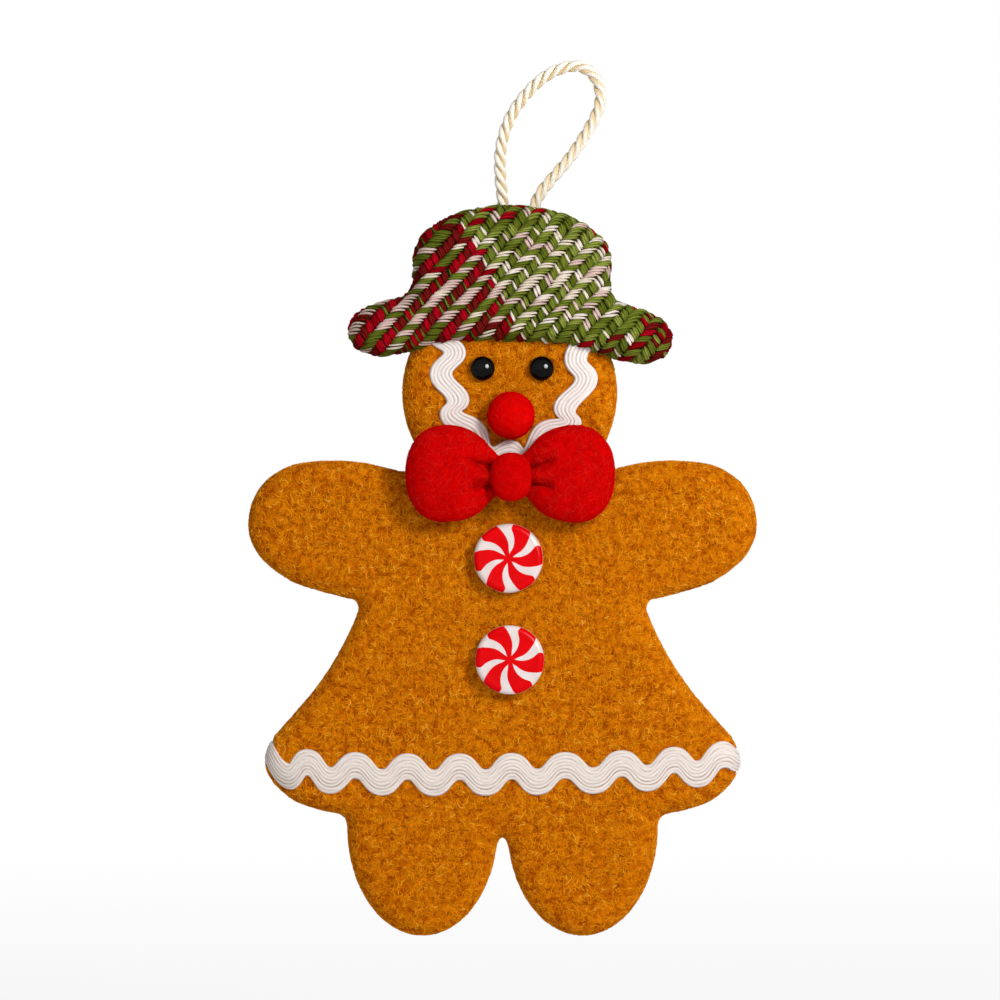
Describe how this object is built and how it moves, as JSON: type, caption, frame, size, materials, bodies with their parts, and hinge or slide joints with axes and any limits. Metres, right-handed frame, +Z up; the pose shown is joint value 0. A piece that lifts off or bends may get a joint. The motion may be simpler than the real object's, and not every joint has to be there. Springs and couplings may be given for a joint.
{
  "type": "hanging ornament",
  "caption": "Padded gingerbread figure to hang up, with a woven hat, felt bow and nose, wavy braid trim, bead eyes, flat-backed buttons and a twisted cord loop.",
  "frame": {"origin": "the hang point: the inside of the cord loop's highest point, where a hook or twig carries it", "axes": "+Z up, along the hanging figure; the figure faces -Y; +X is to the right seen from the front"},
  "size_m": [0.1264, 0.0237, 0.2188],
  "materials": {
    "gingerbread_cloth": "golden-brown boucle wool with short curled pile",
    "brown_felt": "flat brown craft felt",
    "wadding": "white polyester wadding",
    "tweed": "green, red and white plaid woven of chunky yarn in a two-by-two twill",
    "red_felt": "bright red craft felt",
    "red_thread": "red sewing thread",
    "white_braid": "white wavy braid of fine parallel cords, slightly lustrous",
    "cream_cord": "cream three-strand twisted cord with a satin lustre",
    "black_bead": "polished black plastic",
    "candy_resin": "glossy resin, red swirl on white",
    "washer_nylon": "white nylon",
    "glue": "set hot-melt glue"
  },
  "bodies": {
    "loop": {"hanging_cord": "cream_cord"},
    "figure": {"body_front_cloth": "gingerbread_cloth", "body_padding": "wadding", "body_back_felt": "brown_felt", "hat_front_cloth": "tweed", "hat_back_cloth": "tweed", "hat_padding": "wadding", "cord_tail_left": "cream_cord", "cord_tail_right": "cream_cord", "face_rickrack": "white_braid", "hem_rickrack": "white_braid", "eye_left": "black_bead", "eye_right": "black_bead", "eye_washer_left": "washer_nylon", "eye_washer_right": "washer_nylon", "nose_felt": "red_felt", "nose_padding": "wadding", "nose_glue": "glue", "bow_felt": "red_felt", "bow_stuffing_left": "wadding", "bow_stuffing_right": "wadding", "bow_gathering_thread": "red_thread", "bow_glue_left": "glue", "bow_glue_right": "glue", "bow_knot_felt": "red_felt", "bow_knot_padding": "wadding", "bow_knot_glue": "glue", "button_upper": "candy_resin", "button_lower": "candy_resin", "button_glue_upper": "glue", "button_glue_lower": "glue"}
  },
  "joints": [
    {"name": "cord_swing", "type": "hinge", "parent": "loop", "child": "figure", "pos_m": [-0.01415, 0, -0.0314], "axis": [1, 0, 0], "range_deg": [-90, 90]}
  ]
}
